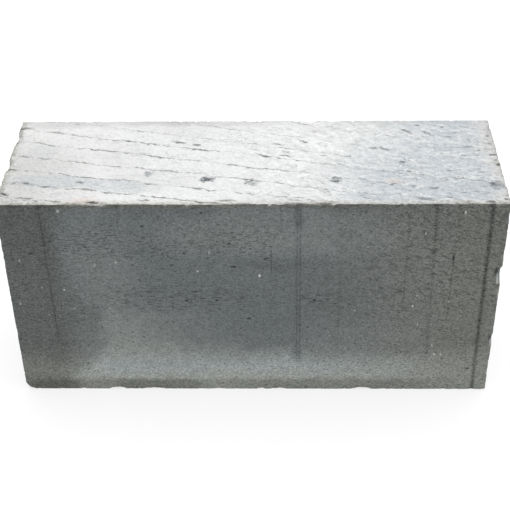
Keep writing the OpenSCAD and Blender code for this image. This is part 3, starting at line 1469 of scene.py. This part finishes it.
    def _bed_marks(
        self, ground: Ground, colour: Value, streaks: Value, fine: Value, dashes: Value
    ) -> Value:
        """Paint the bed's marks: painted shade in its tears, notches and nicks, the stain in its pits,
        and the colour of its chips.

        Args:
            ground: What is painted.
            colour: Colour of the bed without them.
            streaks: Noise along its tears.
            fine: Its finest noise.
            dashes: Noise of its short dashes.

        Returns:
            The colour with them.
        """
        graph, x, y = ground.graph, ground.x, ground.y
        # Painted shade at the feet and lips of the tears' risers, broken up along them.
        crevice_shade = graph.node("ShaderNodeAttribute", {"attribute_name": "crevice_shade"}, output="Fac")
        ticked = 0.50 + graph.noise(graph.vector(x, y * 0.5, 70.0), 0.34) * 3.2
        colour = graph.mix(crevice_shade * ticked.most(0.05).least(1.0) * 0.60, colour, self.crevice_shade_grey)
        smudge = graph.noise(graph.vector((x + y) * 0.30, x - y, 60.0), 0.30, 3.0)
        ragged = graph.vector(x + smudge * 7.0 + fine * 4.0, y + streaks * 9.0 + fine * 4.0)
        worn = (0.80 + smudge * 1.2 + fine * 1.2).most(0.25).least(1.0)
        for pit in ground.block.bed.pits:
            mark = Spot(pit.x, pit.y, pit.length * 0.60, pit.width * 0.62, turn=8.0)
            share = mark.share(ragged).ramp(0, 0.8, pit.stain)
            colour = graph.mix(share * worn, colour, self.pit_blue)
        # Painted shade on the notches, whose torn faces turn away from the light.
        notches = strongest(self.rim_notches, graph.vector(x + fine * 5.0, y))
        notches = notches * (0.45 + streaks * 1.6).most(0.1)
        colour = graph.mix(notches.least(0.8), colour, self.crevice_shade_grey)
        smeared = graph.vector(x + smudge * 9.0, y + fine * 2.0)
        colour = graph.mix(strongest(self.pink_chips, smeared), colour, self.chip_pink)
        colour = graph.mix(strongest(self.brown_chips, smeared), colour, self.chip_brown)
        # Painted shade in the listed nicks.
        nicked = strongest(self.bed_nicks, graph.vector(x + fine * 3.0, y + dashes * 3.0))
        return graph.mix(nicked, colour, self.painted_shade_dark)


@dataclass(frozen=True)
class Studio:
    """Pale floor, soft light from above and the photograph's camera.

    Attributes:
        floor_half: Half of the floor's width.
        floor_colour: Reflectance of the floor, for the light that it throws back.
        seen_colour: Reflectance of the floor as the camera sees it, under its added white.
        floor_white: Light that the floor adds for the camera alone, as a share of white.
        sky: Brightness of the sky on the object.
        lamp: Brightness of the overhead lamp on a level surface, as a share of white.
        lamp_spread: Width of the lamp, as an angle.
        lamp_lean: Lean of the lamp backwards and to the right.
        camera_place: Place of the camera, in metres.
        camera_pitch: Angle by which it looks down.
        camera_yaw: Angle by which it looks to the right.
        camera_roll: Angle by which it leans over.
        camera_lens: Focal length, in millimetres.
    """

    floor_half: float = 6.0
    floor_colour: Colour = (0.70, 0.70, 0.70)
    seen_colour: Colour = (0.33, 0.33, 0.33)
    floor_white: float = 0.69
    sky: float = 0.30
    lamp: float = 0.97
    lamp_spread: float = 80.0
    lamp_lean: tuple[float, float] = (8.0, 4.0)
    camera_place: Point = (0.0244, -0.8714, 0.7619)
    camera_pitch: float = 36.85
    camera_yaw: float = -1.581
    camera_roll: float = -1.013
    camera_lens: float = 80.68

    @staticmethod
    def _seen(graph: ShaderGraph) -> Value:
        """Tell the rays that show a surface from those that light it.

        Args:
            graph: Graph that asks.

        Returns:
            1 for rays from the camera, or by way of a reflection or glass.
        """
        rays = [
            graph.node("ShaderNodeLightPath", output=name)
            for name in ("Is Camera Ray", "Is Glossy Ray", "Is Transmission Ray")
        ]
        return rays[0].most(rays[1]).most(rays[2])

    def lay_floor(self) -> None:
        """Lay the floor under the object."""
        sheet = bmesh.new()
        bmesh.ops.create_grid(sheet, x_segments=1, y_segments=1, size=self.floor_half)
        mesh = bpy.data.meshes.new("floor")
        sheet.to_mesh(mesh)
        sheet.free()
        floor = bpy.data.objects.new("floor", mesh)
        bpy.context.scene.collection.objects.link(floor)
        made = bpy.data.materials.new("pale_floor")
        graph = ShaderGraph(made)
        matt = graph.node("ShaderNodeBsdfDiffuse", inputs={"Color": (*self.floor_colour, 1.0)})
        seen = graph.node("ShaderNodeBsdfDiffuse", inputs={"Color": (*self.seen_colour, 1.0)})
        glow = graph.node("ShaderNodeEmission", inputs={"Strength": self.floor_white})
        white = graph.node("ShaderNodeAddShader", inputs={0: seen, 1: glow})
        both = graph.node("ShaderNodeMixShader", inputs={0: self._seen(graph), 1: matt, 2: white})
        graph.node("ShaderNodeOutputMaterial", inputs={"Surface": both})
        mesh.materials.append(made)

    def light(self) -> None:
        """Light the object from above, and show a white background."""
        world = bpy.data.worlds.new("studio")
        graph = ShaderGraph(world)
        around, white = (
            graph.node("ShaderNodeBackground", inputs={"Color": WHITE, "Strength": strength})
            for strength in (self.sky, 1.0)
        )
        mixed = graph.node("ShaderNodeMixShader", inputs={0: self._seen(graph), 1: around, 2: white})
        graph.node("ShaderNodeOutputWorld", inputs={"Surface": mixed})
        bpy.context.scene.world = world
        lamp = bpy.data.lights.new("overhead", "SUN")
        lamp.energy = math.pi * self.lamp
        lamp.angle = math.radians(self.lamp_spread)
        hung = bpy.data.objects.new("overhead", lamp)
        back, right = (math.radians(lean) for lean in self.lamp_lean)
        hung.rotation_euler = (-back, right, 0.0)
        bpy.context.scene.collection.objects.link(hung)

    def aim_camera(self) -> None:
        """Set up the camera at the photograph's viewing angle."""
        lens = bpy.data.cameras.new("photo_camera")
        lens.lens = self.camera_lens
        camera = bpy.data.objects.new("photo_camera", lens)
        camera.matrix_world = (
            Matrix.Translation(self.camera_place)
            @ Matrix.Rotation(-math.radians(self.camera_yaw), 4, "Z")
            @ Matrix.Rotation(math.radians(90.0 - self.camera_pitch), 4, "X")
            @ Matrix.Rotation(math.radians(self.camera_roll), 4, "Z")
        )
        bpy.context.scene.collection.objects.link(camera)
        bpy.context.scene.camera = camera


def main() -> None:
    """Build the block and the studio round it."""
    logging.basicConfig(level=logging.INFO, format="%(name)s: %(message)s")
    bpy.context.scene.view_settings.view_transform = "Standard"
    low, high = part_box(NODE)
    block = ConcreteBlock(low=np.array(low) / MM, high=np.array(high) / MM, grain=Grain(seed=7))
    piece = block.build()
    piece.data.materials.clear()
    piece.data.materials.append(ConcreteFinish().material(block))
    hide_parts(NODE)
    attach(piece, BODY)
    LOG.info("%s: %d triangles", piece.name, len(piece.data.polygons))
    studio = Studio()
    studio.lay_floor()
    studio.light()
    studio.aim_camera()


if __name__ == "__main__":
    main()
